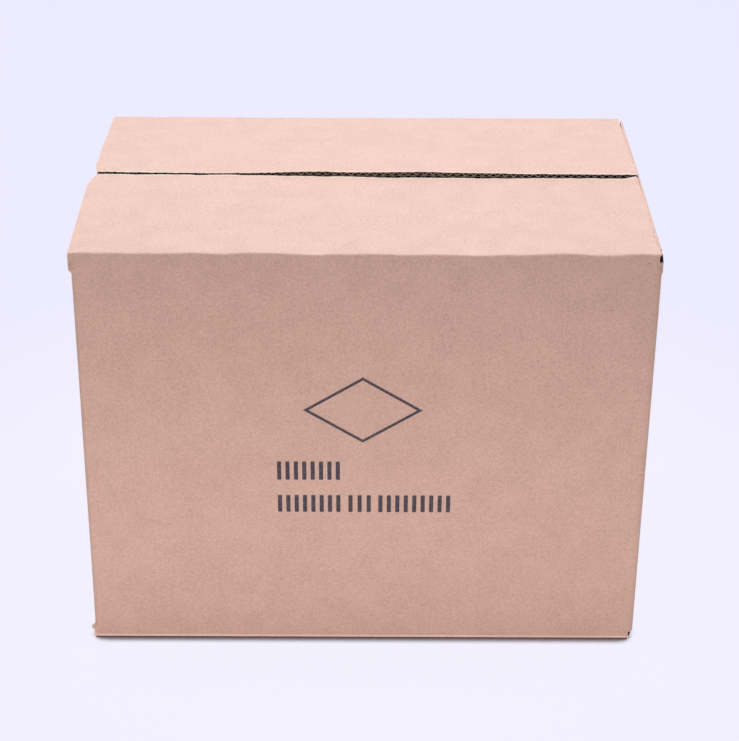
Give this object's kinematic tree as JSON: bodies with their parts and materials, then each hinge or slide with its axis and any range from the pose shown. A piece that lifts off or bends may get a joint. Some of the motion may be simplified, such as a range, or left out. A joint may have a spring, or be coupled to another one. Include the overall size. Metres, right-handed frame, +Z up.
{
  "type": "closed corrugated cardboard box",
  "caption": "Slotted shipping carton in double-wall corrugated board, closed but untaped, with outer top flaps that open on their creases.",
  "frame": {"origin": "middle of the underside, on the surface that the carton stands on", "axes": "+X along the long sides to the right, +Y from the front to the back, +Z up"},
  "size_m": [0.43, 0.281, 0.337],
  "materials": {
    "kraft_board": "uncoated brown kraft liner"
  },
  "bodies": {
    "carton": {"carton_body": "kraft_board"},
    "front_flap": {"top_front_flap": "kraft_board"},
    "back_flap": {"top_back_flap": "kraft_board"}
  },
  "joints": [
    {"name": "front_flap_crease", "type": "hinge", "parent": "carton", "child": "front_flap", "pos_m": [0, -0.1405, 0.337], "axis": [1, 0, 0], "range_deg": [0, 175]},
    {"name": "back_flap_crease", "type": "hinge", "parent": "carton", "child": "back_flap", "pos_m": [0, 0.1405, 0.337], "axis": [-1, 0, 0], "range_deg": [0, 175]}
  ]
}
